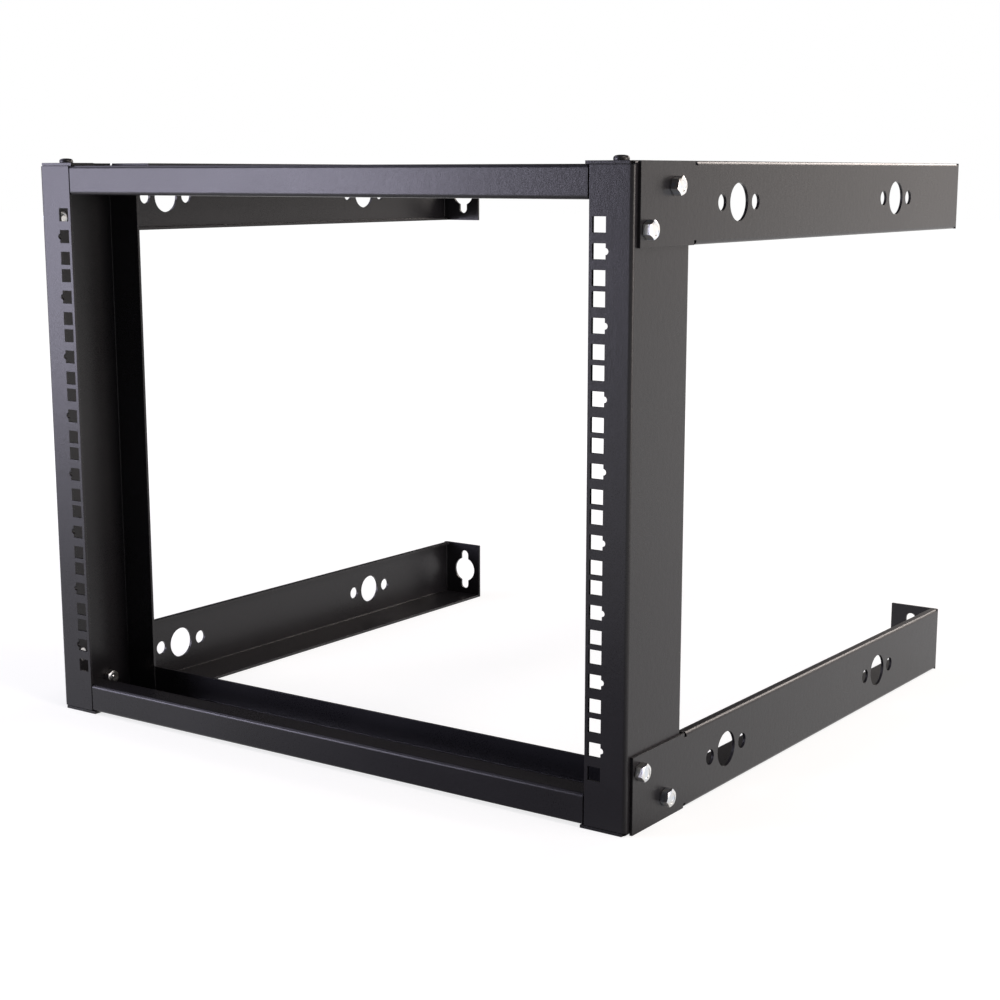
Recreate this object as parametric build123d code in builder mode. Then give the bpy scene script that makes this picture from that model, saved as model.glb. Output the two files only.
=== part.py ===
from build123d import *
import os

# Open wall mount rack for 19-inch equipment, in millimetres.
# X runs across the rack, Y from its front to the wall and Z up.
# The origin lies on the floor, under the middle of the rack.

# Sheet metal that every panel is folded from
sheet = 2.0
bend_radius = 2.5
bend_relief = 3.0

# Equipment grid: one rack unit and its holes, whose column stands beside the bay
rack_unit = 44.45
unit_count = 8
rail_column_inset = 7.15
rail_hole_step = 15.875
rail_hole_rows = 3
rail_hole_side = 9.5
unit_notch_radius = 2.0

# Posts: channels open towards the bay, each with a cap folded over both ends
rail_margin = 31.2
bay_width = 450.8
post_flange = 30.7
post_depth = 69.0
cap_depth = 22.0
cap_tongue = 3.0
cap_seam = 0.4

# Crossbars: troughs with a lip behind the front face, coped to enter the posts
crossbar_height = 21.0
crossbar_lip = 18.0
cope_gap = 1.0
end_clearance = 0.5

# Arms: folded side panels that reach back to the wall
rack_depth = 503.0
arm_height = 51.3
arm_setback = 5.5
arm_flange = 41.5
arm_lip = 6.5
arm_fold_gap = 3.0

# Holes of the arms, measured from the front of the rack
cable_hole_radius = 12.25
cable_hole_front = 128.9
cable_hole_rear = 378.8
tie_hole_radius = 5.35
tie_hole_offset = 22.8
wall_hole_edge = 24.0
wall_hole_radius = 11.5
wall_slot_width = 8.5
wall_slot_length = 38.0

# Hexagon bolts that hold the arms to the posts
bolt_shank = 3.0
bolt_head_flats = 10.5
bolt_head_height = 5.8
bolt_head_chamfer = 0.5
bolt_nut_height = 5.0
bolt_thread_end = 1.5
bolt_clearance = 0.3
bolt_front = 13.2
bolt_spacing = 32.3
bolt_row_near = 15.0
bolt_far_inset = 10.7

# Screws that hold the crossbars to the caps: pan heads above, flush heads below
screw_shank = 2.5
screw_head_radius = 5.0
screw_head_height = 3.3
screw_head_round = 1.6
flush_head_radius = 4.7
flush_angle = 45.0
flush_clearance = 0.2
screw_nut_flats = 8.0
screw_nut_height = 4.0
screw_thread_end = 1.0
screw_inset = 15.7
screw_front = 12.0

# Places that follow from those sizes
rack_height = unit_count * rack_unit + 2 * rail_margin
front = -rack_depth / 2
wall = rack_depth / 2
middle_height = rack_height / 2
bay_edge = bay_width / 2
rail_column = bay_edge + rail_column_inset
post_side = bay_edge + post_flange
post_inside = post_side - sheet
post_rear = front + post_depth
arm_side = post_side + sheet
arm_fold = post_rear + arm_fold_gap
arm_fold_end = wall - bend_relief
flange_edge = arm_side - arm_flange
cope_edge = bay_edge - cope_gap
screw_x = post_side - screw_inset
screw_y = front + screw_front
bolt_y_front = front + bolt_front
bolt_y_rear = bolt_y_front + bolt_spacing
bolt_row_far = arm_height - bolt_far_inset
crossbar_bottom = sheet
crossbar_top = crossbar_bottom + crossbar_height
screw_length = 2 * sheet + screw_nut_height + screw_thread_end

os.makedirs("parts", exist_ok=True)


def save(piece, label):
    """Names a finished piece and writes it to its own file."""
    piece.label = label
    export_step(piece, f"parts/{label}.step")


def make_right_post():
    """Channel with a grid of square holes in its front flange and a cap over each end."""
    with BuildPart() as post:
        with BuildSketch(Plane.XY.offset(sheet + cap_seam)):
            with BuildLine():
                FilletPolyline(
                    (bay_edge, front),
                    (post_side, front),
                    (post_side, post_rear),
                    (bay_edge, post_rear),
                    radius=bend_radius,
                )
                offset(amount=sheet, side=Side.LEFT)
            make_face()
        extrude(amount=rack_height - 2 * (sheet + cap_seam))

        # Both caps are folded from the web, behind the bend of the front flange.
        with BuildSketch(Plane.XZ.offset(-front - bend_radius)):
            with BuildLine():
                FilletPolyline(
                    (bay_edge - cap_tongue, 0),
                    (post_side, 0),
                    (post_side, rack_height),
                    (bay_edge - cap_tongue, rack_height),
                    radius=bend_radius,
                )
                offset(amount=sheet, side=Side.LEFT)
            make_face()
        extrude(amount=bend_radius - cap_depth)

        # The front edge of each cap lies over the end of the front flange.
        edge_length = post_side - bend_radius - bay_edge + cap_tongue
        for base in (0, rack_height - sheet):
            with BuildSketch(Plane.XY.offset(base)):
                with Locations((bay_edge - cap_tongue, front)):
                    Rectangle(edge_length, bend_radius, align=(Align.MIN, Align.MIN))
            extrude(amount=sheet)

        # Three square holes in each unit, the middle one with a notch that marks the unit.
        with BuildSketch(Plane.XZ.offset(-front)):
            with Locations((rail_column, middle_height)):
                with GridLocations(0, rack_unit, 1, unit_count):
                    with GridLocations(0, rail_hole_step, 1, rail_hole_rows):
                        Rectangle(rail_hole_side, rail_hole_side)
                    with Locations((rail_hole_side / 2, 0)):
                        Circle(unit_notch_radius)
        extrude(amount=-sheet, mode=Mode.SUBTRACT)

        # Bolt holes in the web: a far and a near row at each end, in step with the arms.
        with BuildSketch(Plane.YZ.offset(post_inside)):
            with Locations(*arm_bolt_places()):
                Circle(bolt_shank + bolt_clearance)
        extrude(amount=sheet, mode=Mode.SUBTRACT)

        # Screw holes in the caps, the lower one countersunk so that the rack stands flat.
        with Locations((screw_x, screw_y, 0)):
            Hole(screw_shank + bolt_clearance)
        with BuildSketch(Plane.XY):
            with Locations((screw_x, screw_y)):
                Circle(flush_head_radius + flush_clearance)
        extrude(amount=sheet, taper=flush_angle, mode=Mode.SUBTRACT)
    return post.part


def arm_bolt_places():
    """Centres of the arm bolts of one side, as places along Y and Z."""
    lower = [(bolt_y_front, bolt_row_far), (bolt_y_rear, bolt_row_near)]
    return lower + [(y, rack_height - z) for y, z in lower]


def make_bottom_crossbar():
    """Trough across the front, its floor and lip reaching into both posts."""
    with BuildPart() as crossbar:
        with BuildSketch(Plane.YZ.offset(-post_inside + end_clearance)):
            with BuildLine():
                FilletPolyline(
                    (front + crossbar_lip, crossbar_top),
                    (front, crossbar_top),
                    (front, crossbar_bottom),
                    (post_rear, crossbar_bottom),
                    (post_rear, crossbar_top),
                    radius=bend_radius,
                )
                offset(amount=sheet, side=Side.LEFT)
            make_face()
        extrude(amount=2 * (post_inside - end_clearance))

        # The ends are coped: front face and rear wall stop between the posts' flanges.
        with BuildSketch(Plane.XY.offset(crossbar_bottom)):
            for cope_y in (front + bend_radius / 2, post_rear - bend_radius / 2):
                for side in (-1, 1):
                    with Locations((side * (cope_edge + post_flange / 2), cope_y)):
                        Rectangle(post_flange, bend_radius)
        extrude(amount=crossbar_height, mode=Mode.SUBTRACT)

        with BuildSketch(Plane.XY.offset(crossbar_bottom)):
            with Locations((-screw_x, screw_y), (screw_x, screw_y)):
                Circle(screw_shank + bolt_clearance)
        extrude(amount=sheet, mode=Mode.SUBTRACT)
    return crossbar.part


def make_lower_right_arm():
    """Side panel folded inwards below, above and at the wall."""
    with BuildPart() as arm:
        # Long fold: a broad flange below, the web, and a narrow lip above.
        with BuildSketch(Plane.XZ.offset(-arm_fold)):
            with BuildLine():
                FilletPolyline(
                    (flange_edge, 0),
                    (arm_side, 0),
                    (arm_side, arm_height),
                    (arm_side - arm_lip, arm_height),
                    radius=bend_radius,
                )
                offset(amount=sheet, side=Side.LEFT)
            make_face()
        extrude(amount=arm_fold - arm_fold_end)

        # The web runs on flat to the front, over the side of the post.
        with BuildSketch(Plane.YZ.offset(post_side)):
            with Locations((front + arm_setback, 0)):
                Rectangle(arm_fold - front - arm_setback, arm_height, align=(Align.MIN, Align.MIN))
        extrude(amount=sheet)

        # Wall flange, folded from the end of the web.
        with BuildSketch(Plane.XY):
            with BuildLine():
                FilletPolyline(
                    (flange_edge, wall),
                    (arm_side, wall),
                    (arm_side, arm_fold_end),
                    radius=bend_radius,
                )
                offset(amount=sheet, side=Side.RIGHT)
            make_face()
        extrude(amount=arm_height)

        # Relief notches where the long folds begin behind the post.
        with BuildSketch(Plane.YZ.offset(arm_side - bend_radius)):
            with Locations((arm_fold, 0), (arm_fold, arm_height)):
                Rectangle(bend_relief, 2 * bend_relief)
        extrude(amount=bend_radius, mode=Mode.SUBTRACT)

        # Round holes along the middle of the web, and the bolt holes at its front.
        with BuildSketch(Plane.YZ.offset(post_side)):
            for centre in (front + cable_hole_front, front + cable_hole_rear):
                with Locations((centre, arm_height / 2)):
                    Circle(cable_hole_radius)
                    with GridLocations(2 * tie_hole_offset, 0, 2, 1):
                        Circle(tie_hole_radius)
            with Locations((bolt_y_front, bolt_row_far), (bolt_y_rear, bolt_row_near)):
                Circle(bolt_shank + bolt_clearance)
        extrude(amount=sheet, mode=Mode.SUBTRACT)

        # Wall hole: a round hole that lets a bolt head through, with a slot up and down from it.
        with BuildSketch(Plane.XZ.offset(-wall)):
            with Locations((arm_side - wall_hole_edge, arm_height / 2)):
                Circle(wall_hole_radius)
                SlotOverall(wall_slot_length, wall_slot_width, rotation=90)
        extrude(amount=sheet, mode=Mode.SUBTRACT)
    return arm.part


def make_arm_bolt(y, z):
    """Hexagon bolt through arm and post, its head outside and its end inside the post."""
    with BuildPart() as bolt:
        with BuildSketch(Plane.YZ.offset(arm_side)):
            with Locations((y, z)):
                RegularPolygon(bolt_head_flats / 2, 6, major_radius=False)
        extrude(amount=bolt_head_height)
        crown = bolt.faces().sort_by(Axis.X)[-1]
        chamfer(crown.edges(), length=bolt_head_chamfer)
        with BuildSketch(Plane.YZ.offset(arm_side)):
            with Locations((y, z)):
                Circle(bolt_shank)
        extrude(amount=-(2 * sheet + bolt_nut_height + bolt_thread_end))
    return bolt.part


def make_arm_nut(y, z):
    """Hexagon nut against the inside of the post."""
    with BuildPart() as nut:
        with BuildSketch(Plane.YZ.offset(post_inside)):
            with Locations((y, z)):
                RegularPolygon(bolt_head_flats / 2, 6, major_radius=False)
                Circle(bolt_shank + bolt_clearance, mode=Mode.SUBTRACT)
        extrude(amount=-bolt_nut_height)
    return nut.part


def make_pan_screw():
    """Pan head screw down through the upper cap and the top crossbar."""
    with BuildPart() as screw:
        with BuildSketch(Plane.XY.offset(rack_height)):
            with Locations((screw_x, screw_y)):
                Circle(screw_head_radius)
        extrude(amount=screw_head_height)
        crown = screw.faces().sort_by(Axis.Z)[-1]
        fillet(crown.edges(), radius=screw_head_round)
        with BuildSketch(Plane.XY.offset(rack_height)):
            with Locations((screw_x, screw_y)):
                Circle(screw_shank)
        extrude(amount=-screw_length)
    return screw.part


def make_flush_screw():
    """Countersunk screw up through the lower cap and the bottom crossbar."""
    with BuildPart() as screw:
        with BuildSketch(Plane.XY):
            with Locations((screw_x, screw_y)):
                Circle(flush_head_radius)
        extrude(amount=sheet, taper=flush_angle)
        with BuildSketch(Plane.XY):
            with Locations((screw_x, screw_y)):
                Circle(screw_shank)
        extrude(amount=screw_length)
    return screw.part


def make_screw_nut():
    """Hexagon nut on the floor of the bottom crossbar."""
    with BuildPart() as nut:
        with BuildSketch(Plane.XY.offset(2 * sheet)):
            with Locations((screw_x, screw_y)):
                RegularPolygon(screw_nut_flats / 2, 6, major_radius=False)
                Circle(screw_shank + bolt_clearance, mode=Mode.SUBTRACT)
        extrude(amount=screw_nut_height)
    return nut.part


def save_on_both_sides(piece, label, level=""):
    """Writes a piece of the right side and its mirror image on the left."""
    save(piece, f"{level}right_{label}")
    save(mirror(piece, about=Plane.YZ), f"{level}left_{label}")


def save_in_corners(piece, label):
    """Writes a piece of a lower corner, its mirror image on the left and both again above."""
    save_on_both_sides(piece, label, "lower_")
    save_on_both_sides(mirror(piece, about=Plane.XY.offset(middle_height)), label, "upper_")


save_on_both_sides(make_right_post(), "post")

bottom_crossbar = make_bottom_crossbar()
save(bottom_crossbar, "bottom_crossbar")
save(mirror(bottom_crossbar, about=Plane.XY.offset(middle_height)), "top_crossbar")

save_in_corners(make_lower_right_arm(), "arm")
save_in_corners(make_arm_bolt(bolt_y_front, bolt_row_far), "front_bolt")
save_in_corners(make_arm_nut(bolt_y_front, bolt_row_far), "front_nut")
save_in_corners(make_arm_bolt(bolt_y_rear, bolt_row_near), "rear_bolt")
save_in_corners(make_arm_nut(bolt_y_rear, bolt_row_near), "rear_nut")

save_on_both_sides(make_pan_screw(), "screw", "upper_")
save_on_both_sides(make_flush_screw(), "screw", "lower_")
save_in_corners(make_screw_nut(), "screw_nut")
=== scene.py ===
"""Looks of an open wall mount rack: powder-coated sheet metal, plated fasteners and a small studio."""

import logging
import math
from dataclasses import dataclass, field
from enum import Enum
from typing import Any, Optional, Union

import bmesh
import bpy
from mathutils import Matrix, Vector


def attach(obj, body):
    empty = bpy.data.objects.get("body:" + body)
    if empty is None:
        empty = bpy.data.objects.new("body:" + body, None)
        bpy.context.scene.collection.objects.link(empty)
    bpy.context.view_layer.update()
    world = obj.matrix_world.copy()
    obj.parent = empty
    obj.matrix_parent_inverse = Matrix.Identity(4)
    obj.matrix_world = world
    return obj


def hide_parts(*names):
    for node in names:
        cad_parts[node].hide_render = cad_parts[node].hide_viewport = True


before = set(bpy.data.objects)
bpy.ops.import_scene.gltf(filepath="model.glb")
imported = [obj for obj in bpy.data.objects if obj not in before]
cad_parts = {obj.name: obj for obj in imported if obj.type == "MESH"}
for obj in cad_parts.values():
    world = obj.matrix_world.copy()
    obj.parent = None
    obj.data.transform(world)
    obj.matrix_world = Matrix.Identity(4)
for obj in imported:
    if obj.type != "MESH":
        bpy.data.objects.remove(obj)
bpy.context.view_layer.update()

LOG = logging.getLogger("rack")

Colour = tuple[float, float, float]
Limits = tuple[float, float]
Place = tuple[Vector, Vector]

MM = 0.001
WHITE: Colour = (1.0, 1.0, 1.0)

# Meshes: steps in the turn of a hexagon and of a cross recess, the distance under which
# points are one, and the angle past which an edge stays sharp
HEXAGON_STEPS = 60
RECESS_STEPS = 96
WELD_DISTANCE = 1e-7
SHARP_ANGLE = math.radians(32)
NEARLY_ZERO = 1e-9

# Numbers of the sockets of nodes that have one for each type of data
MIX_SHARE = 0
MIX_COLOURS = (6, 7)
MIX_RESULT = 2
RANDOM_LIMITS = (2, 3)
RANDOM_RESULT = 1


class Slot(Enum):
    """Material slots of the rack's record."""

    POWDER = "powder_coat"
    ZINC = "zinc_plating"


class Side(Enum):
    """The two halves of the rack, as signs along X."""

    LEFT = -1
    RIGHT = 1


# Shader and geometry trees


class Value:
    """A socket or number that takes part in arithmetic; each operation adds a Math node."""

    def __init__(self, tree: "ShaderTree", source: Any) -> None:
        """Keeps the tree that new nodes go into, and the socket."""
        self.tree = tree
        self.source = source

    def _math(self, operation: str, *others: Any, clamp: bool = False) -> "Value":
        """Adds one Math node.

        Args:
            operation: The Math node's operation.
            others: The operands after this one.
            clamp: Whether the result is held between 0 and 1.

        Returns:
            The node's result.
        """
        settings = {"operation": operation, "use_clamp": clamp}
        node = self.tree.node("ShaderNodeMath", settings, dict(enumerate((self, *others))))
        return Value(self.tree, node.outputs[0])

    def __add__(self, other: Any) -> "Value":
        """Sum."""
        return self._math("ADD", other)

    __radd__ = __add__

    def __sub__(self, other: Any) -> "Value":
        """Difference."""
        return self._math("SUBTRACT", other)

    def __rsub__(self, other: Any) -> "Value":
        """Difference, reflected."""
        return Value(self.tree, other)._math("SUBTRACT", self)

    def __mul__(self, other: Any) -> "Value":
        """Product."""
        return self._math("MULTIPLY", other)

    __rmul__ = __mul__

    def __truediv__(self, other: Any) -> "Value":
        """Quotient."""
        return self._math("DIVIDE", other)

    def __rtruediv__(self, other: Any) -> "Value":
        """Quotient, reflected."""
        return Value(self.tree, other)._math("DIVIDE", self)

    def most(self, other: Any) -> "Value":
        """The larger of two values."""
        return self._math("MAXIMUM", other)

    def size(self) -> "Value":
        """The value without its sign."""
        return self._math("ABSOLUTE")

    def root(self) -> "Value":
        """Square root."""
        return self._math("SQRT")

    def wave(self) -> "Value":
        """Sine, moved from -1 to 1 into 0 to 1."""
        return self._math("SINE") * 0.5 + 0.5

    def across(self, other: "Value") -> "Value":
        """Distance from the middle of a plane, for a place this far and that far from it."""
        return (self * self + other * other).root()

    def held(self) -> "Value":
        """The value held between 0 and 1."""
        return self._math("ADD", 0.0, clamp=True)

    def step(self, low: float, high: float) -> "Value":
        """Smooth step between two limits.

        Args:
            low: Where the result is 0.
            high: Where the result is 1, which may be below low.

        Returns:
            The smoothed result.
        """
        settings = {"interpolation_type": "SMOOTHSTEP"}
        sockets = {"Value": self, "From Min": low, "From Max": high, "To Min": 0.0, "To Max": 1.0}
        node = self.tree.node("ShaderNodeMapRange", settings, sockets)
        return Value(self.tree, node.outputs[0])


@dataclass(frozen=True)
class Noise:
    """Fractal noise: its waves in a metre, its octaves and the share of the finer ones."""

    scale: float
    octaves: float = 2.0
    fineness: float = 0.5


class Tree:
    """A node tree and the one way that nodes are added to it."""

    def __init__(self, node_tree: bpy.types.NodeTree) -> None:
        """Keeps Blender's tree."""
        self.node_tree = node_tree

    def node(
        self,
        kind: str,
        settings: Optional[dict] = None,
        sockets: Optional[dict] = None,
    ) -> bpy.types.Node:
        """Adds a node.

        Args:
            kind: Blender's name of the node type.
            settings: Properties that are set before the sockets are.
            sockets: Values or links, by the socket's name or number.

        Returns:
            The new node.
        """
        new = self.node_tree.nodes.new(kind)
        for name, value in (settings or {}).items():
            setattr(new, name, value)
        for key, value in (sockets or {}).items():
            self.feed(new.inputs[key], value)
        return new

    def feed(self, socket: bpy.types.NodeSocket, value: Any) -> None:
        """Sets or links one input socket.

        Args:
            socket: The input.
            value: A Value, an output socket, or a plain value.
        """
        if isinstance(value, Value):
            value = value.source
        if isinstance(value, bpy.types.NodeSocket):
            self.node_tree.links.new(value, socket)
        else:
            socket.default_value = value


class ShaderTree(Tree):
    """The node tree of a material or the world, with the patterns that finishes share."""

    def __init__(self, owner: Union[bpy.types.Material, bpy.types.World], output: str) -> None:
        """Empties the owner's tree and adds its output.

        Args:
            owner: The material or world.
            output: Blender's name of the output's node type.
        """
        owner.use_nodes = True
        self.owner = owner
        super().__init__(owner.node_tree)
        self.node_tree.nodes.clear()
        self.output = self.node(output)

    @classmethod
    def of_material(cls, name: str) -> "ShaderTree":
        """Starts a new material.

        Args:
            name: The material's name.

        Returns:
            Its empty tree.
        """
        return cls(bpy.data.materials.new(name), "ShaderNodeOutputMaterial")

    def value(self, source: Any) -> Value:
        """Wraps a socket or number for arithmetic."""
        return Value(self, source)

    def place(self) -> bpy.types.NodeSocket:
        """The object's own coordinates, in metres."""
        return self.node("ShaderNodeTexCoord").outputs["Object"]

    def parts(self, vector: Any) -> tuple[Value, Value, Value]:
        """Splits a vector.

        Args:
            vector: The vector's socket.

        Returns:
            Its X, Y and Z.
        """
        split = self.node("ShaderNodeSeparateXYZ", None, {"Vector": vector})
        return tuple(self.value(output) for output in split.outputs)

    def noise(self, vector: Any, texture: Noise) -> Value:
        """Fractal noise between 0 and 1.

        Args:
            vector: Where the noise is read.
            texture: Its scale, octaves and fineness.

        Returns:
            The noise.
        """
        sockets = {
            "Vector": vector,
            "Scale": texture.scale,
            "Detail": texture.octaves,
            "Roughness": texture.fineness,
        }
        return self.value(self.node("ShaderNodeTexNoise", None, sockets).outputs["Fac"])

    def cells(self, vector: Any, scale: float) -> Value:
        """Rounded distance to the nearest of many scattered points.

        Args:
            vector: Where the pattern is read.
            scale: Cells in a metre.

        Returns:
            The distance, in cells.
        """
        sockets = {"Vector": vector, "Scale": scale}
        node = self.node("ShaderNodeTexVoronoi", {"feature": "SMOOTH_F1"}, sockets)
        return self.value(node.outputs["Distance"])

    def blend(self, share: Any, first: Any, second: Any) -> bpy.types.NodeSocket:
        """Mixes two colours.

        Args:
            share: Share of the second colour.
            first: A colour or its socket.
            second: A colour or its socket.

        Returns:
            The mixed colour.
        """
        mixed = self.node("ShaderNodeMix", {"data_type": "RGBA"})
        self.feed(mixed.inputs[MIX_SHARE], share)
        for key, colour in zip(MIX_COLOURS, (first, second)):
            self.feed(mixed.inputs[key], (*colour, 1.0) if isinstance(colour, tuple) else colour)
        return mixed.outputs[MIX_RESULT]

    def bump(
        self,
        height: Any,
        distance: float,
        strength: float,
        normal: Optional[bpy.types.NodeSocket] = None,
    ) -> bpy.types.NodeSocket:
        """Turns a height into a normal.

        Args:
            height: The height, from 0 to 1.
            distance: Depth that a height of 1 stands for, in metres.
            strength: Share of the effect.
            normal: The normal that the relief is added to.

        Returns:
            The normal.
        """
        sockets = {"Height": height, "Distance": distance, "Strength": strength}
        if normal is not None:
            sockets["Normal"] = normal
        return self.node("ShaderNodeBump", None, sockets).outputs[0]

    def surface(self, sockets: dict) -> bpy.types.Material:
        """Ends the tree in one Principled shader.

        Args:
            sockets: The shader's inputs.

        Returns:
            The finished material.
        """
        shader = self.node("ShaderNodeBsdfPrincipled", None, sockets)
        self.feed(self.output.inputs["Surface"], shader.outputs[0])
        return self.owner


class GeometryTree(Tree):
    """A Geometry Nodes tree with named inputs, run once and turned into a plain mesh."""

    def __init__(self, name: str) -> None:
        """Makes an empty tree with one geometry input and one geometry output.

        Args:
            name: The tree's name.
        """
        super().__init__(bpy.data.node_groups.new(name, "GeometryNodeTree"))
        self.identifiers: dict[str, str] = {}
        for way in ("INPUT", "OUTPUT"):
            self.node_tree.interface.new_socket("Geometry", in_out=way, socket_type="NodeSocketGeometry")
        self.entry = self.node("NodeGroupInput")
        self.exit = self.node("NodeGroupOutput")

    def input(self, name: str, kind: str) -> bpy.types.NodeSocket:
        """Adds a named input.

        Args:
            name: What the input is called.
            kind: Blender's socket type.

        Returns:
            The socket that carries the input inside the tree.
        """
        socket = self.node_tree.interface.new_socket(name, in_out="INPUT", socket_type=kind)
        self.identifiers[name] = socket.identifier
        return next(output for output in self.entry.outputs if output.identifier == socket.identifier)

    def close(self, geometry: Any, material: bpy.types.NodeSocket) -> None:
        """Realizes instances, sets the material and links the output.

        Args:
            geometry: The geometry to end with.
            material: The socket that carries the material.
        """
        real = self.node("GeometryNodeRealizeInstances", None, {"Geometry": geometry})
        sockets = {"Geometry": real.outputs[0], "Material": material}
        dressed = self.node("GeometryNodeSetMaterial", None, sockets)
        self.feed(self.exit.inputs[0], dressed.outputs[0])

    def mesh_from(self, base: bpy.types.Object, values: dict, name: str) -> bpy.types.Mesh:
        """Runs the tree on an object.

        Args:
            base: The object whose geometry goes in; it is deleted.
            values: The named inputs.
            name: Name of the mesh.

        Returns:
            The result as a plain mesh.
        """
        modifier = base.modifiers.new("Tree", "NODES")
        modifier.node_group = self.node_tree
        for key, value in values.items():
            modifier[self.identifiers[key]] = value
        bpy.context.view_layer.update()
        evaluated = base.evaluated_get(bpy.context.evaluated_depsgraph_get())
        mesh = bpy.data.meshes.new_from_object(evaluated)
        mesh.name = name
        base.modifiers.remove(modifier)
        bpy.data.objects.remove(base)
        return mesh


# Finishes


@dataclass(frozen=True)
class PowderCoat:
    """Fine-textured matte black coat, baked on after the sheet is cut and folded."""

    colour: Colour = (0.0105, 0.0100, 0.0120)
    light_colour: Colour = (0.0150, 0.0143, 0.0168)
    worn_and_highlight_colour: Colour = (0.055, 0.053, 0.056)
    roughness: float = 0.30
    specular: float = 0.32

    # Texture: fine grain with pits, orange peel over it, and a slow drift of the tone
    grain: Noise = Noise(1500.0, 3.0, 0.6)
    grain_depth: float = 0.07 * MM
    grain_strength: float = 0.9
    grain_height: float = 0.6
    grain_roughness: float = 0.18
    pit_scale: float = 825.0
    peel: Noise = Noise(260.0, 2.0, 0.45)
    peel_depth: float = 0.10 * MM
    peel_strength: float = 0.6
    drift: Noise = Noise(9.0, 3.0, 0.55)
    drift_share: float = 0.7
    drift_roughness: float = 0.14
    tone_limits: Limits = (0.30, 0.72)

    # Wear and painted highlight: rounded edges, all lightened a little as a painted highlight and more
    # where chips lie along them, and rings that the bolt heads rub
    edge_radius: float = 0.5 * MM
    edge_samples: int = 2
    edge_limits: Limits = (0.985, 0.86)
    chips: Noise = Noise(420.0, 4.0, 0.7)
    chip_limits: Limits = (0.50, 0.66)
    # Share of the painted highlight that every edge gets, chipped or not
    even_edge_highlight: float = 0.25
    wear_and_highlight_share: float = 0.55
    rub_share: float = 0.4
    polish: float = 0.08
    bolt_places: tuple[tuple[float, float], ...] = ()
    washer_radius: float = 6.2 * MM
    rub_limits: Limits = (0.7 * MM, 0.1 * MM)

    def build(self) -> bpy.types.Material:
        """Makes the material.

        Returns:
            The coat, with its grain, edge wear with a painted highlight along every edge, and rub marks
            under the bolt heads.
        """
        tree = ShaderTree.of_material("powder_coat_black")
        place = tree.place()
        grain = tree.noise(place, self.grain)
        pits = tree.cells(place, self.pit_scale)
        peel = tree.noise(place, self.peel)
        drift = tree.noise(place, self.drift)

        bevel = tree.node("ShaderNodeBevel", {"samples": self.edge_samples}, {"Radius": self.edge_radius})
        rounded = bevel.outputs["Normal"]
        flat = tree.node("ShaderNodeNewGeometry").outputs["Normal"]
        facing = tree.node("ShaderNodeVectorMath", {"operation": "DOT_PRODUCT"}, {0: rounded, 1: flat})
        edge = tree.value(facing.outputs["Value"]).step(*self.edge_limits)
        chips = tree.noise(place, self.chips).step(*self.chip_limits)
        # Painted highlight: every edge gets a share of the lighter colour, and chips add real wear on top
        wear_and_highlight = edge * (self.even_edge_highlight + chips * (1.0 - self.even_edge_highlight))
        rubbed = self.rub_marks(tree, place) * chips

        tone = (drift * self.drift_share + grain * (1.0 - self.drift_share)).step(*self.tone_limits)
        colour = tree.blend(tone, self.colour, self.light_colour)
        # Lightens the coat along edges: a painted highlight on every edge, and real wear where chips lie
        colour = tree.blend(wear_and_highlight * self.wear_and_highlight_share, colour, self.worn_and_highlight_colour)
        colour = tree.blend(rubbed * self.rub_share, colour, self.worn_and_highlight_colour)

        roughness = self.roughness + (drift - 0.5) * self.drift_roughness
        roughness = roughness + (grain - 0.5) * self.grain_roughness
        roughness = roughness - wear_and_highlight * self.polish - rubbed * self.polish

        height = grain * self.grain_height + (1.0 - pits) * (1.0 - self.grain_height)
        fine = tree.bump(height, self.grain_depth, self.grain_strength, rounded)
        normal = tree.bump(peel, self.peel_depth, self.peel_strength, fine)
        return tree.surface({
            "Base Color": colour,
            "Roughness": roughness,
            "Specular IOR Level": self.specular,
            "Normal": normal,
        })

    def rub_marks(self, tree: ShaderTree, place: bpy.types.NodeSocket) -> Value:
        """Rings that the bolt heads rub into the coat as they are tightened.

        Args:
            tree: The material's tree.
            place: Object coordinates.

        Returns:
            1 on a ring and 0 away from it.
        """
        _, y, z = tree.parts(place)
        ring = tree.value(0.0)
        for bolt_y, bolt_z in self.bolt_places:
            far = (y - bolt_y).across(z - bolt_z)
            ring = ring.most((far - self.washer_radius).size().step(*self.rub_limits))
        return ring


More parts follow.
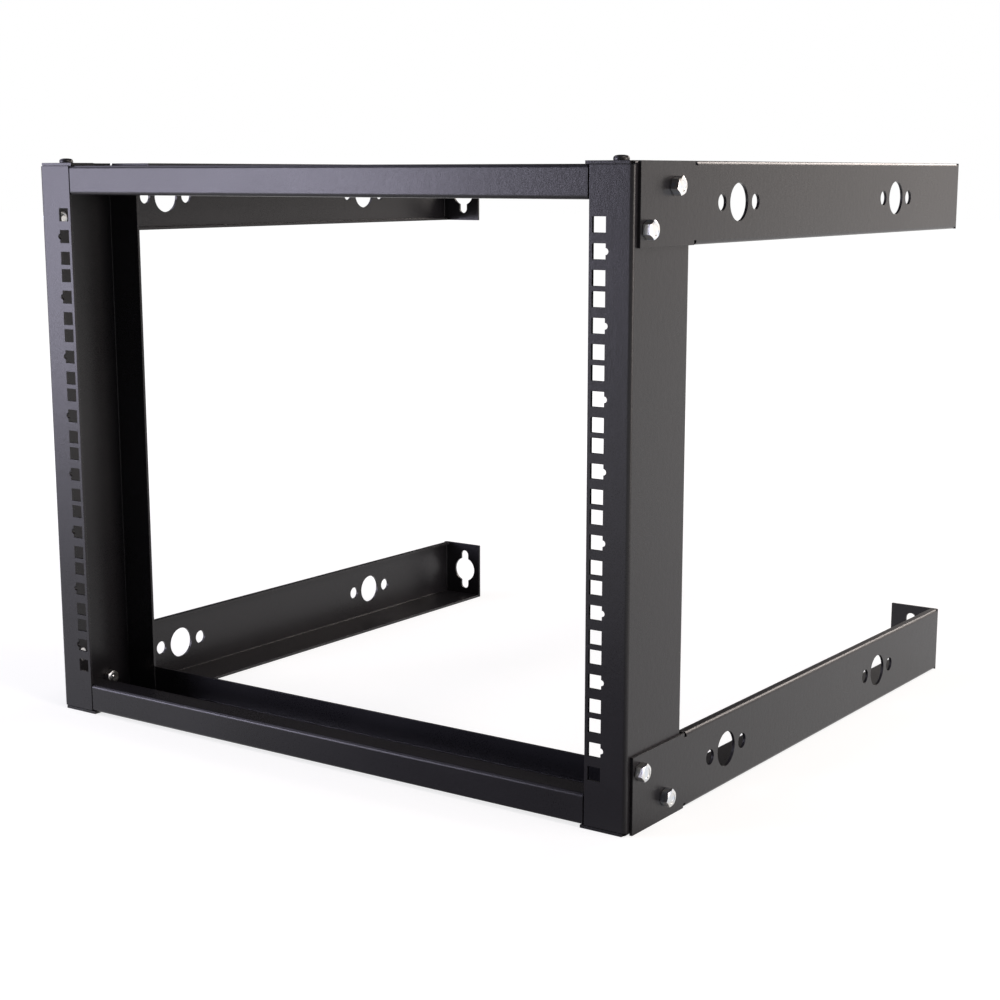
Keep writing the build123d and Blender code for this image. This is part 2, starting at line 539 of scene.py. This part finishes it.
@dataclass(frozen=True)
class Plating:
    """Plated steel, turned and rolled, with the faint rings that the tool leaves."""

    name: str = "zinc_plating_bright"
    slot: Slot = Slot.ZINC
    colour: Colour = (0.80, 0.80, 0.785)
    blue_colour: Colour = (0.66, 0.72, 0.80)
    dull_colour: Colour = (0.50, 0.49, 0.47)
    metallic: float = 1.0
    roughness: float = 0.24

    # Relief: rings that the tool leaves about the axis, on a rolled surface
    ring_pitch: float = 0.22 * MM
    ring_share: float = 0.5
    wobble: Noise = Noise(700.0)
    wobble_turns: float = 2.0
    rolled: Noise = Noise(900.0, 3.0)
    relief_depth: float = 0.02 * MM
    relief_strength: float = 0.7

    # Tone: blue clouds, dull specks and a dull foot where the fastener meets the sheet
    cloud: Noise = Noise(160.0, 3.0, 0.6)
    cloud_limits: Limits = (0.42, 0.66)
    cloud_roughness: float = 0.12
    speck: Noise = Noise(2600.0, 2.0, 0.6)
    speck_limits: Limits = (0.60, 0.72)
    speck_share: float = 0.5
    speck_roughness: float = 0.2
    foot_limits: Limits = (0.6 * MM, 0.0)
    foot_share: float = 0.35

    def build(self) -> bpy.types.Material:
        """Makes the material.

        Returns:
            The plated steel.
        """
        tree = ShaderTree.of_material(self.name)
        turned = tree.node("ShaderNodeAttribute", {"attribute_name": "turned"}).outputs["Vector"]
        x, y, z = tree.parts(turned)
        wobble = tree.noise(turned, self.wobble)
        turns = x.across(y) / self.ring_pitch + wobble * self.wobble_turns
        rings = (turns * (2 * math.pi)).wave()

        place = tree.place()
        cloud = tree.noise(place, self.cloud)
        speck = tree.noise(place, self.speck).step(*self.speck_limits)
        foot = z.step(*self.foot_limits)
        colour = tree.blend(cloud.step(*self.cloud_limits), self.colour, self.blue_colour)
        colour = tree.blend(speck * self.speck_share, colour, self.dull_colour)
        colour = tree.blend(foot * self.foot_share, colour, self.dull_colour)
        height = rings * self.ring_share + tree.noise(place, self.rolled) * (1.0 - self.ring_share)
        return tree.surface({
            "Base Color": colour,
            "Metallic": self.metallic,
            "Roughness": self.roughness + cloud * self.cloud_roughness + speck * self.speck_roughness,
            "Normal": tree.bump(height, self.relief_depth, self.relief_strength),
        })


BRIGHT_ZINC = Plating()
BLACK_ZINC = Plating(
    name="zinc_plating_black",
    slot=Slot.POWDER,
    colour=(0.016, 0.0155, 0.017),
    blue_colour=(0.012, 0.013, 0.017),
    dull_colour=(0.030, 0.029, 0.028),
    metallic=0.0,
    roughness=0.34,
)


@dataclass(frozen=True)
class PaleFloor:
    """Seamless pale floor, which stays white to the eye and keeps the rack's shadow."""

    colour: Colour = (0.36, 0.36, 0.36)
    scuff: Noise = Noise(3.0, 3.0)
    scuff_tone: float = 0.985
    near_glow: float = 0.76
    far_glow: float = 0.98
    near: float = 0.45
    far: float = 1.6
    # Middle and reach of the painted dark reflection, a patch of floor that reflections show without glow
    dark_reflection_place: tuple[float, float] = (0.15, -0.50)
    dark_reflection_reach: Limits = (0.20, 0.40)

    def build(self) -> bpy.types.Material:
        """Makes the material, with a painted dark reflection: a patch before the rack where reflections
        show the floor without its glow.

        Returns:
            The floor's material.
        """
        tree = ShaderTree.of_material("pale_floor")
        rays = tree.node("ShaderNodeLightPath").outputs
        place = tree.place()
        x, y, _ = tree.parts(place)
        # Painted reflection: glossy rays see the glow everywhere except in a dark patch before the rack,
        # where no object stands
        dark_reflection_x, dark_reflection_y = self.dark_reflection_place
        painted_reflection_glow = (x - dark_reflection_x).across(y - dark_reflection_y).step(*self.dark_reflection_reach)
        mirrored = tree.value(rays["Is Glossy Ray"]) * painted_reflection_glow
        seen = (tree.value(rays["Is Camera Ray"]) + mirrored + rays["Is Transmission Ray"]).held()
        far = x.across(y).step(self.near, self.far)
        glow = self.near_glow + far * (self.far_glow - self.near_glow)
        scuffed = tuple(part * self.scuff_tone for part in self.colour)
        colour = tree.blend(tree.noise(place, self.scuff), self.colour, scuffed)
        matt = tree.node("ShaderNodeBsdfDiffuse", None, {"Color": colour})
        light = tree.node("ShaderNodeEmission", None, {"Strength": seen * glow})
        both = tree.node("ShaderNodeAddShader", None, {0: matt.outputs[0], 1: light.outputs[0]})
        tree.feed(tree.output.inputs["Surface"], both.outputs[0])
        return tree.owner


# Meshes and objects


def linked(name: str, data: Any) -> bpy.types.Object:
    """Makes an object and links it to the scene.

    Args:
        name: Name of the object.
        data: Its mesh, lamp or camera.

    Returns:
        The object.
    """
    made = bpy.data.objects.new(name, data)
    bpy.context.collection.objects.link(made)
    return made


def solid_from(bm: bmesh.types.BMesh, name: str) -> bpy.types.Object:
    """Closes a bmesh into an object of its own.

    Args:
        bm: The finished bmesh, which is freed.
        name: Name of the mesh and object.

    Returns:
        The object, linked to the scene.
    """
    bmesh.ops.remove_doubles(bm, verts=bm.verts, dist=WELD_DISTANCE)
    bmesh.ops.recalc_face_normals(bm, faces=bm.faces)
    mesh = bpy.data.meshes.new(name)
    bm.to_mesh(mesh)
    bm.free()
    return linked(name, mesh)


def shade_by_angle(mesh: bpy.types.Mesh, limit: float) -> None:
    """Smooths a mesh except across sharp edges.

    Args:
        mesh: The mesh to shade.
        limit: Angle between faces past which an edge stays sharp.
    """
    bm = bmesh.new()
    bm.from_mesh(mesh)
    for face in bm.faces:
        face.smooth = True
    for edge in bm.edges:
        edge.smooth = len(edge.link_faces) == 2 and edge.calc_face_angle(0.0) < limit
    bm.to_mesh(mesh)
    bm.free()


# Forms of the fasteners


@dataclass
class Rings:
    """Rings of points about Z, joined by faces into one closed skin."""

    steps: int
    bm: bmesh.types.BMesh = field(default_factory=bmesh.new)
    rows: list = field(default_factory=list)

    def add(self, radii: list[float], heights: list[float]) -> None:
        """Adds a ring and joins it to the one before.

        Args:
            radii: The radius at each step of the turn.
            heights: The height at each step of the turn.
        """
        row = []
        for i in range(self.steps):
            angle = 2 * math.pi * i / self.steps
            x, y = radii[i] * math.cos(angle), radii[i] * math.sin(angle)
            row.append(self.bm.verts.new((x, y, heights[i])))
        if self.rows:
            self.join(self.rows[-1], row)
        self.rows.append(row)

    def circle(self, radius: float, height: float) -> None:
        """Adds a round ring at one height."""
        self.add([radius] * self.steps, [height] * self.steps)

    def join(self, first: list, second: list) -> None:
        """Adds the faces between two rings.

        Args:
            first: The points of one ring.
            second: The points of the other ring.
        """
        for i in range(self.steps):
            j = (i + 1) % self.steps
            self.bm.faces.new((first[i], first[j], second[j], second[i]))

    def cap_ends(self) -> None:
        """Closes the first and the last ring with a flat face each."""
        for row in (self.rows[0], self.rows[-1]):
            self.bm.faces.new(row)


@dataclass
class Thread:
    """Rolled thread on a shank, swept along a helix by Geometry Nodes."""

    radius: float
    pitch: float
    low: float
    high: float
    depth: float
    turn_steps: int = 20
    ridge_sides: int = 4

    def build(self, material: bpy.types.Material) -> bpy.types.Mesh:
        """Sweeps the ridge.

        Args:
            material: The finish of the thread.

        Returns:
            The ridge as a plain mesh about Z.
        """
        tree = GeometryTree("rolled_thread")
        radius = tree.input("Radius", "NodeSocketFloat")
        turns = tree.input("Turns", "NodeSocketFloat")
        length = tree.input("Length", "NodeSocketFloat")
        depth = tree.input("Depth", "NodeSocketFloat")
        start = tree.input("Start", "NodeSocketVector")
        finish = tree.input("Finish", "NodeSocketMaterial")
        spiral = tree.node("GeometryNodeCurveSpiral", None, {
            "Resolution": self.turn_steps,
            "Rotations": turns,
            "Start Radius": radius,
            "End Radius": radius,
            "Height": length,
        })
        ridge = tree.node("GeometryNodeCurvePrimitiveCircle", None, {
            "Resolution": self.ridge_sides,
            "Radius": depth,
        })
        swept = tree.node("GeometryNodeCurveToMesh", None, {
            "Curve": spiral.outputs[0],
            "Profile Curve": ridge.outputs[0],
            "Fill Caps": True,
        })
        moved = tree.node("GeometryNodeTransform", None, {
            "Geometry": swept.outputs[0],
            "Translation": start,
        })
        tree.close(moved.outputs[0], finish)
        base = linked("thread_base", bpy.data.meshes.new("thread_base"))
        values = {
            "Radius": self.radius,
            "Turns": (self.high - self.low) / self.pitch,
            "Length": self.high - self.low,
            "Depth": self.depth,
            "Start": (0.0, 0.0, self.low),
            "Finish": material,
        }
        return tree.mesh_from(base, values, "rolled_thread")


@dataclass
class HexagonHead:
    """Hexagon with the conical chamfer of a turned head, standing on Z = 0."""

    flats: float
    chamfer: float = math.radians(28)
    face_share: float = 0.93

    def face_radius(self) -> float:
        """Radius of the round flat face inside the chamfer."""
        return self.flats / 2 * self.face_share

    def corner(self, step: int, steps: int) -> float:
        """Distance from the axis to the hexagon's side at a step of the turn."""
        angle = (2 * math.pi * step / steps) % (math.pi / 3) - math.pi / 6
        return self.flats / 2 / math.cos(angle)

    def slope(self, radius: float) -> float:
        """Height that the chamfer takes off at a radius."""
        return max(0.0, radius - self.face_radius()) * math.tan(self.chamfer)

    def outline(self, rings: Rings, level: float, upwards: bool) -> None:
        """Adds the ring where the hexagon's sides meet a chamfer.

        Args:
            rings: The skin being built.
            level: Height of the flat face that the chamfer falls from.
            upwards: Whether that face looks up.
        """
        radii = [self.corner(i, rings.steps) for i in range(rings.steps)]
        sign = -1 if upwards else 1
        rings.add(radii, [level + sign * self.slope(radius) for radius in radii])


@dataclass
class Shank:
    """Shank below Z = 0, with a narrowed tip and a rolled thread, which bolts and screws share."""

    radius: float = 2.5 * MM
    length: float = 9.0 * MM
    core_share: float = 0.94
    tip_share: float = 0.75
    tip_rise: float = 0.2
    pitch: float = 0.8 * MM
    ridge_share: float = 0.955
    ridge_depth: float = 0.22 * MM
    run_in: float = 0.5 * MM
    thread_top: float = -0.4 * MM

    def tip(self, steps: int) -> Rings:
        """Starts a skin at the tip.

        Args:
            steps: Steps in a whole turn.

        Returns:
            The skin, with the rings of the tip.
        """
        rings = Rings(steps)
        rings.circle(self.radius * self.tip_share, -self.length)
        rings.circle(self.radius * self.core_share, -self.length + self.radius * self.tip_rise)
        return rings

    def thread(self) -> Thread:
        """The rolled thread, from near the tip up to just under the head."""
        low = -self.length + self.run_in
        return Thread(self.radius * self.ridge_share, self.pitch, low, self.thread_top, self.ridge_depth)


@dataclass
class ArmBolt(Shank):
    """Hexagon bolt: head above Z = 0, shank and thread below."""

    flats: float = 10.5 * MM
    head_height: float = 5.8 * MM
    washer_face: float = 0.25 * MM
    neck: float = 0.2 * MM
    dimple: float = 0.35 * MM
    dimple_rim: float = 0.66
    dimple_floor: float = 0.60
    radius: float = 3.0 * MM
    length: float = 10.5 * MM
    tip_share: float = 0.72
    tip_rise: float = 0.22
    pitch: float = 1.0 * MM
    ridge_depth: float = 0.28 * MM
    run_in: float = 0.6 * MM
    thread_top: float = -0.5 * MM

    def build(self) -> bpy.types.Object:
        """Makes the bolt without its thread.

        Returns:
            The bolt, standing on the sheet at Z = 0.
        """
        head = HexagonHead(self.flats)
        rings = self.tip(HEXAGON_STEPS)
        rings.circle(self.radius * self.core_share, -self.neck)
        rings.circle(self.radius, 0.0)
        rings.circle(head.face_radius(), 0.0)
        rings.circle(head.face_radius(), self.washer_face)
        corners = [head.corner(i, rings.steps) for i in range(rings.steps)]
        rings.add(corners, [self.washer_face] * rings.steps)
        head.outline(rings, self.head_height, True)
        rings.circle(head.face_radius(), self.head_height)
        rings.circle(self.flats / 2 * self.dimple_rim, self.head_height)
        rings.circle(self.flats / 2 * self.dimple_floor, self.head_height - self.dimple)
        rings.cap_ends()
        return solid_from(rings.bm, "arm_bolt_form")


@dataclass
class HexagonNut:
    """Hexagon nut, chamfered on both faces, its bore below Z = 0 and its seat on Z = 0."""

    flats: float
    height: float
    bore: float
    lead: float = 0.45 * MM

    def build(self) -> bpy.types.Object:
        """Makes the nut.

        Returns:
            The nut, hanging under Z = 0.
        """
        head = HexagonHead(self.flats)
        rings = Rings(HEXAGON_STEPS)
        rings.circle(self.bore + self.lead, -self.height)
        rings.circle(head.face_radius(), -self.height)
        head.outline(rings, -self.height, False)
        head.outline(rings, 0.0, True)
        rings.circle(head.face_radius(), 0.0)
        rings.circle(self.bore + self.lead, 0.0)
        rings.circle(self.bore, -self.lead)
        rings.circle(self.bore, -self.height + self.lead)
        rings.join(rings.rows[-1], rings.rows[0])
        return solid_from(rings.bm, "nut_form")


@dataclass
class PanScrew(Shank):
    """Pan head screw with a cross recess: head above Z = 0, shank below."""

    head_radius: float = 5.0 * MM
    head_height: float = 3.3 * MM
    rim: float = 0.3 * MM
    rim_share: float = 0.42
    dome_power: float = 3.2
    face_rows: tuple[float, ...] = (1.0, 0.97, 0.92, 0.85, 0.75, 0.65)
    wing: float = 2.6 * MM
    wing_width: float = 0.95 * MM
    wing_taper: float = 0.2
    wing_root: float = 1.75
    recess_depth: float = 1.9 * MM
    recess_rows: tuple[tuple[float, float], ...] = ((0.0, 0.0), (0.15 * MM, 0.4), (1.0 * MM, 1.0))

    def crown(self, radius: float) -> float:
        """Height of the domed head at a radius."""
        fall = max(0.0, 1.0 - min(1.0, radius / self.head_radius) ** self.dome_power)
        return self.head_height * (self.rim_share + (1.0 - self.rim_share) * math.sqrt(fall))

    def build(self) -> bpy.types.Object:
        """Makes the screw without its thread.

        Returns:
            The screw, standing on the sheet at Z = 0.
        """
        rings = self.tip(RECESS_STEPS)
        rings.circle(self.radius * self.core_share, 0.0)
        rings.circle(self.head_radius - self.rim, 0.0)
        rings.circle(self.head_radius, self.rim)
        self.face(rings)
        return solid_from(rings.bm, "pan_screw_form")

    def face(self, rings: Rings) -> None:
        """Adds the face from its rim inwards, then the walls and floor of the recess.

        Args:
            rings: The skin being built.
        """
        for share in self.face_rows:
            rings.circle(self.head_radius * share, self.crown(self.head_radius * share))
        for inset, depth in self.recess_rows:
            radii = [self.cross(i, rings.steps, inset) for i in range(rings.steps)]
            rings.add(radii, [self.crown(radius) - depth * self.recess_depth for radius in radii])
        rings.cap_ends()

    def cross(self, step: int, steps: int, inset: float) -> float:
        """Distance from the axis to the wall of the cross recess.

        Args:
            step: The step of the turn.
            steps: Steps in a whole turn.
            inset: How far the recess has narrowed at this depth.

        Returns:
            The distance.
        """
        angle = (2 * math.pi * step / steps + math.pi / 4) % (math.pi / 2) - math.pi / 4
        half = self.wing_width / 2 - inset * self.wing_taper
        end = (self.wing - inset) / math.cos(angle)
        side = half / max(NEARLY_ZERO, abs(math.sin(angle)))
        return max(min(end, side), half * self.wing_root)


@dataclass
class FlushScrew(PanScrew):
    """Countersunk screw with a cross recess: its face on Z = 0, shank below."""

    head_radius: float = 4.7 * MM
    cone: float = 2.0 * MM
    shoulder: float = 0.2 * MM
    rim: float = 0.2 * MM
    sink: float = 0.05 * MM
    face_rows: tuple[float, ...] = (1.0, 0.75)
    recess_depth: float = 1.5 * MM
    thread_top: float = -2.3 * MM

    def crown(self, radius: float) -> float:
        """The face is flat, just under the sheet's own."""
        return -self.sink

    def build(self) -> bpy.types.Object:
        """Makes the screw without its thread.

        Returns:
            The screw, its face on Z = 0.
        """
        rings = self.tip(RECESS_STEPS)
        rings.circle(self.radius * self.core_share, -self.cone)
        rings.circle(self.radius + self.shoulder, -self.cone)
        rings.circle(self.head_radius, -self.rim)
        self.face(rings)
        return solid_from(rings.bm, "flush_screw_form")


@dataclass
class FastenerPlaces:
    """Sets copies of one fastener on the rack, each turned by its own amount about its axis."""

    seed: int

    def build(
        self,
        form: bpy.types.Object,
        places: list[Place],
        material: bpy.types.Material,
        name: str,
    ) -> bpy.types.Object:
        """Runs the tree that places the copies.

        Args:
            form: The fastener about Z; it is deleted.
            places: Where each copy stands, and the way its Z points.
            material: The finish.
            name: Name of the finished piece.

        Returns:
            All copies as one plain mesh.
        """
        values = {"Fastener": form, "Seed": self.seed, "Spin": 2 * math.pi, "Finish": material}
        mesh = self.tree().mesh_from(self.base_of(places), values, name)
        bpy.data.objects.remove(form)
        shade_by_angle(mesh, SHARP_ANGLE)
        return linked(name, mesh)

    def tree(self) -> GeometryTree:
        """Makes the tree, which also notes where each point lay before its copy was placed.

        Returns:
            The tree, with the inputs Fastener, Seed, Spin and Finish.
        """
        tree = GeometryTree("fastener_places")
        single = tree.input("Fastener", "NodeSocketObject")
        seed = tree.input("Seed", "NodeSocketInt")
        spin = tree.input("Spin", "NodeSocketFloat")
        finish = tree.input("Finish", "NodeSocketMaterial")

        copy = tree.node("GeometryNodeObjectInfo", {"transform_space": "ORIGINAL"}, {"Object": single})
        position = tree.node("GeometryNodeInputPosition")
        vectors = {"data_type": "FLOAT_VECTOR"}
        noted = tree.node("GeometryNodeStoreNamedAttribute", {**vectors, "domain": "POINT"}, {
            "Geometry": copy.outputs["Geometry"],
            "Name": "turned",
            "Value": position.outputs[0],
        })

        axis = tree.node("GeometryNodeInputNamedAttribute", vectors, {"Name": "axis"})
        aligned = tree.node("FunctionNodeAlignRotationToVector", {"axis": "Z"}, {
            "Vector": axis.outputs[0],
        })
        chance = tree.node("FunctionNodeRandomValue", {"data_type": "FLOAT"}, {"Seed": seed})
        for number, limit in zip(RANDOM_LIMITS, (0.0, spin)):
            tree.feed(chance.inputs[number], limit)
        turned = tree.node("FunctionNodeAxisAngleToRotation", None, {
            "Axis": (0.0, 0.0, 1.0),
            "Angle": chance.outputs[RANDOM_RESULT],
        })
        rotation = tree.node("FunctionNodeRotateRotation", {"rotation_space": "LOCAL"}, {
            "Rotation": aligned.outputs[0],
            "Rotate By": turned.outputs[0],
        })

        points = tree.node("GeometryNodeMeshToPoints", None, {"Mesh": tree.entry.outputs[0]})
        placed = tree.node("GeometryNodeInstanceOnPoints", None, {
            "Points": points.outputs[0],
            "Instance": noted.outputs[0],
            "Rotation": rotation.outputs[0],
        })
        tree.close(placed.outputs[0], finish)
        return tree

    def base_of(self, places: list[Place]) -> bpy.types.Object:
        """Makes the points that the copies stand on.

        Args:
            places: Where each copy stands, and the way its Z points.

        Returns:
            An object of loose points with an axis each.
        """
        mesh = bpy.data.meshes.new("places")
        mesh.from_pydata([tuple(spot) for spot, _ in places], [], [])
        axes = mesh.attributes.new("axis", "FLOAT_VECTOR", "POINT")
        for i, (_, way) in enumerate(places):
            axes.data[i].vector = way
        return linked("places", mesh)


def finish_form(form: bpy.types.Object, thread: Optional[Thread], material: bpy.types.Material) -> None:
    """Adds a fastener's thread and cuts its large faces into triangles.

    Args:
        form: The fastener about Z.
        thread: The thread to sweep on it, if it has one.
        material: The finish of the thread.
    """
    bm = bmesh.new()
    bm.from_mesh(form.data)
    if thread is not None:
        ridge = thread.build(material)
        bm.from_mesh(ridge)
        bpy.data.meshes.remove(ridge)
    bmesh.ops.triangulate(bm, faces=[face for face in bm.faces if len(face.verts) > 4])
    bm.to_mesh(form.data)
    bm.free()


# Sub-assemblies


@dataclass(frozen=True)
class Dressing:
    """A built finish and the slot of the record that it goes in."""

    material: bpy.types.Material
    slot: Slot


@dataclass
class SheetMetal:
    """Posts, crossbars and arms: the folded sheets, kept as they are and dressed in their coat."""

    nodes: tuple[str, ...] = (
        "left_post", "right_post", "bottom_crossbar", "top_crossbar",
        "lower_left_arm", "lower_right_arm", "upper_left_arm", "upper_right_arm",
    )
    coat: PowderCoat = field(default_factory=PowderCoat)

    def dress(self) -> None:
        """Gives every sheet the coat."""
        material = self.coat.build()
        for name in self.nodes:
            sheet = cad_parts[name]
            sheet.data.materials.clear()
            sheet.data.materials.append(material)
            LOG.info("%s: %d faces, dressed in %s", name, len(sheet.data.polygons), material.name)


@dataclass
class Fasteners:
    """Bolts and nuts of the arms, screws and nuts of the crossbars."""

    rack_height: float = 418.0 * MM
    front: float = -251.5 * MM
    arm_side: float = 258.1 * MM
    post_inside: float = 254.1 * MM
    sheet: float = 2.0 * MM
    bolt_front: float = 13.2 * MM
    bolt_spacing: float = 32.3 * MM
    row_far: float = 40.6 * MM
    row_near: float = 15.0 * MM
    screw_x: float = 240.4 * MM
    screw_front: float = 12.0 * MM
    finish: Plating = BRIGHT_ZINC
    pan_finish: Plating = BLACK_ZINC

    def bolt_rows(self) -> list[tuple[float, float]]:
        """Finds the bolts of one side.

        Returns:
            Y and Z of each of the four.
        """
        near = self.front + self.bolt_front
        lower = [(near, self.row_far), (near + self.bolt_spacing, self.row_near)]
        return lower + [(y, self.rack_height - z) for y, z in lower]

    def side_places(self, distance: float) -> list[Place]:
        """Places on both sides at a distance from the middle, pointing outwards.

        Args:
            distance: X of the seat.

        Returns:
            Place and axis of each.
        """
        return [
            (Vector((side.value * distance, y, z)), Vector((side.value, 0.0, 0.0)))
            for side in Side
            for y, z in self.bolt_rows()
        ]

    def screw_places(self, height: float, up: float) -> list[Place]:
        """Places of the crossbar screws at one height.

        Args:
            height: Z of the seat.
            up: 1 where the fastener's Z points up, and -1 where it points down.

        Returns:
            Place and axis of each.
        """
        y = self.front + self.screw_front
        return [
            (Vector((side.value * self.screw_x, y, height)), Vector((0.0, 0.0, up)))
            for side in Side
        ]

    def build(self) -> None:
        """Makes every fastener and stands it for its CAD nodes."""
        zinc = Dressing(self.finish.build(), self.finish.slot)
        black = Dressing(self.pan_finish.build(), self.pan_finish.slot)
        sides = [side.name.lower() for side in Side]
        corners = [f"{level}_{side}" for level in ("lower", "upper") for side in sides]
        rows = [f"{corner}_{row}" for corner in corners for row in ("front", "rear")]
        arm_nut = HexagonNut(flats=10.5 * MM, height=5.0 * MM, bore=3.3 * MM)
        screw_nut = HexagonNut(flats=8.0 * MM, height=4.0 * MM, bore=2.8 * MM)
        inner_caps = self.screw_places(2 * self.sheet, -1.0)
        inner_caps += self.screw_places(self.rack_height - 2 * self.sheet, 1.0)

        self.set_piece(
            ArmBolt(), self.side_places(self.arm_side), zinc,
            name="arm_bolts", stands_for=[f"{row}_bolt" for row in rows], seed=11,
        )
        self.set_piece(
            arm_nut, self.side_places(self.post_inside), zinc,
            name="arm_nuts", stands_for=[f"{row}_nut" for row in rows], seed=23,
        )
        self.set_piece(
            PanScrew(), self.screw_places(self.rack_height, 1.0), black,
            name="pan_screws", stands_for=[f"upper_{side}_screw" for side in sides], seed=31,
        )
        self.set_piece(
            FlushScrew(), self.screw_places(0.0, -1.0), zinc,
            name="flush_screws", stands_for=[f"lower_{side}_screw" for side in sides], seed=43,
        )
        self.set_piece(
            screw_nut, inner_caps, zinc,
            name="screw_nuts", stands_for=[f"{corner}_screw_nut" for corner in corners], seed=59,
        )

    def set_piece(
        self,
        fastener: Union[Shank, HexagonNut],
        places: list[Place],
        dressing: Dressing,
        name: str,
        stands_for: list[str],
        seed: int,
    ) -> None:
        """Places one kind of fastener and ties it to the frame.

        Args:
            fastener: The bolt, screw or nut.
            places: Where each copy stands, and the way its Z points.
            dressing: The finish and the slot that it goes in.
            name: Name of the piece.
            stands_for: The CAD nodes that it takes the place of.
            seed: Seed of the turns.
        """
        form = fastener.build()
        thread = fastener.thread() if isinstance(fastener, Shank) else None
        finish_form(form, thread, dressing.material)
        piece = FastenerPlaces(seed).build(form, places, dressing.material, name)
        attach(piece, "root")
        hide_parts(*stands_for)
        LOG.info("%s: %d copies, %d faces", name, len(places), len(piece.data.polygons))


# Studio


COOL: Colour = (0.82, 0.79, 1.0)
WARM: Colour = (1.0, 0.90, 0.84)


def direction(azimuth: float, elevation: float = 0.0) -> Vector:
    """Direction as seen from the middle of the rack.

    Args:
        azimuth: Degrees from straight before the front, positive to the right.
        elevation: Degrees above the level.

    Returns:
        The unit vector.
    """
    turn, rise = math.radians(azimuth), math.radians(elevation)
    return Vector((math.sin(turn) * math.cos(rise), -math.cos(turn) * math.cos(rise), math.sin(rise)))


@dataclass(frozen=True)
class Softbox:
    """A flat lamp that faces the rack."""

    name: str
    azimuth: float
    elevation: float
    width: float
    height: float
    power: float
    colour: Colour
    distance: float = 2.3
    target: tuple[float, float, float] = (0.0, 0.0, 0.21)

    def build(self) -> None:
        """Hangs the lamp."""
        way = direction(self.azimuth, self.elevation)
        data = bpy.data.lights.new(self.name, "AREA")
        data.shape = "RECTANGLE"
        data.size, data.size_y = self.width, self.height
        data.energy = self.power
        data.color = self.colour
        lamp = linked(self.name, data)
        lamp.location = Vector(self.target) + way * self.distance
        lamp.rotation_euler = way.to_track_quat("Z", "Y").to_euler()


@dataclass
class Studio:
    """Floor, world and lamps."""

    floor_size: float = 30.0
    floor_level: float = -0.2 * MM
    ambient: float = 0.16
    room: float = 0.04
    backdrop_azimuth: float = 172.0
    backdrop_edge: Limits = (0.766, 0.94)
    backdrop_colour: Colour = (1.0, 0.94, 0.90)
    lamps: tuple[Softbox, ...] = (
        Softbox("left_key", azimuth=-51.0, elevation=6.4, width=1.2, height=0.9, power=23.0, colour=COOL),
        Softbox("front_key", azimuth=-36.0, elevation=9.0, width=0.5, height=0.8, power=15.0, colour=COOL),
        Softbox("left_top", azimuth=-78.0, elevation=42.0, width=1.7, height=1.0, power=12.0, colour=COOL),
        Softbox("right_beam", azimuth=72.0, elevation=50.0, width=0.4, height=0.4, power=16.0, colour=WARM),
        Softbox("right_fill", azimuth=100.0, elevation=7.0, width=1.2, height=0.9, power=26.0, colour=WARM),
        Softbox("right_rim", azimuth=155.0, elevation=7.0, width=1.2, height=0.9, power=2.0, colour=WARM),
        Softbox("back_rim", azimuth=166.0, elevation=27.0, width=1.2, height=0.6, power=20.0, colour=WARM),
    )

    def build(self) -> None:
        """Sets up everything round the rack."""
        self.build_world()
        half = self.floor_size / 2
        corners = [(-half, -half), (half, -half), (half, half), (-half, half)]
        mesh = bpy.data.meshes.new("studio_floor")
        mesh.from_pydata([(x, y, self.floor_level) for x, y in corners], [], [(0, 1, 2, 3)])
        mesh.materials.append(PaleFloor().build())
        linked("studio_floor", mesh)
        for lamp in self.lamps:
            lamp.build()
        LOG.info("studio: floor and %d lamps", len(self.lamps))

    def build_world(self) -> None:
        """Makes the world.

        It is white to the eye and soft grey light for the rack. Reflections show it white in the
        direction of the backdrop, and as a dim room elsewhere.
        """
        world = bpy.data.worlds.new("studio_world")
        bpy.context.scene.world = world
        tree = ShaderTree(world, "ShaderNodeOutputWorld")
        rays = tree.node("ShaderNodeLightPath").outputs
        eye = (tree.value(rays["Is Camera Ray"]) + rays["Is Transmission Ray"]).held()
        glossy = tree.value(rays["Is Glossy Ray"])
        x, y, _ = tree.parts(tree.node("ShaderNodeTexCoord").outputs["Generated"])
        backdrop = direction(self.backdrop_azimuth)
        facing = x * backdrop.x + y * backdrop.y
        mirrored = self.room + facing.step(*self.backdrop_edge) * (1.0 - self.room)
        strength = eye + glossy * mirrored + (1.0 - (eye + glossy).held()) * self.ambient
        colour = tree.blend(glossy, WHITE, self.backdrop_colour)
        background = tree.node("ShaderNodeBackground", None, {"Color": colour, "Strength": strength})
        tree.feed(tree.output.inputs["Surface"], background.outputs[0])


@dataclass
class PhotoCamera:
    """Camera at the photograph's viewing angle."""

    place: tuple[float, float, float] = (0.83122, -1.20754, 0.41018)
    azimuth: float = 34.939
    elevation: float = 11.209
    roll: float = -0.003
    lens: float = 67.022
    sensor: float = 36.0
    shift: tuple[float, float] = (-0.0039, 0.0426)
    clip: Limits = (0.05, 100.0)

    def build(self) -> None:
        """Sets the camera up."""
        data = bpy.data.cameras.new("photo_camera")
        data.lens = self.lens
        data.sensor_width = self.sensor
        data.shift_x, data.shift_y = self.shift
        data.clip_start, data.clip_end = self.clip
        camera = linked("photo_camera", data)
        turn = Matrix.Rotation(math.radians(self.azimuth), 3, "Z")
        tilt = Matrix.Rotation(math.radians(90.0 - self.elevation), 3, "X")
        roll = Matrix.Rotation(math.radians(self.roll), 3, "Z")
        camera.location = self.place
        camera.rotation_euler = (turn @ tilt @ roll).to_euler()
        bpy.context.scene.camera = camera


def main() -> None:
    """Builds the studio, dresses the sheets and makes the fasteners."""
    logging.basicConfig(level=logging.INFO, format="%(name)s: %(message)s")
    bpy.context.scene.view_settings.view_transform = "Standard"
    PhotoCamera().build()
    Studio().build()
    fasteners = Fasteners()
    SheetMetal(coat=PowderCoat(bolt_places=tuple(fasteners.bolt_rows()))).dress()
    fasteners.build()


if __name__ == "__main__":
    main()
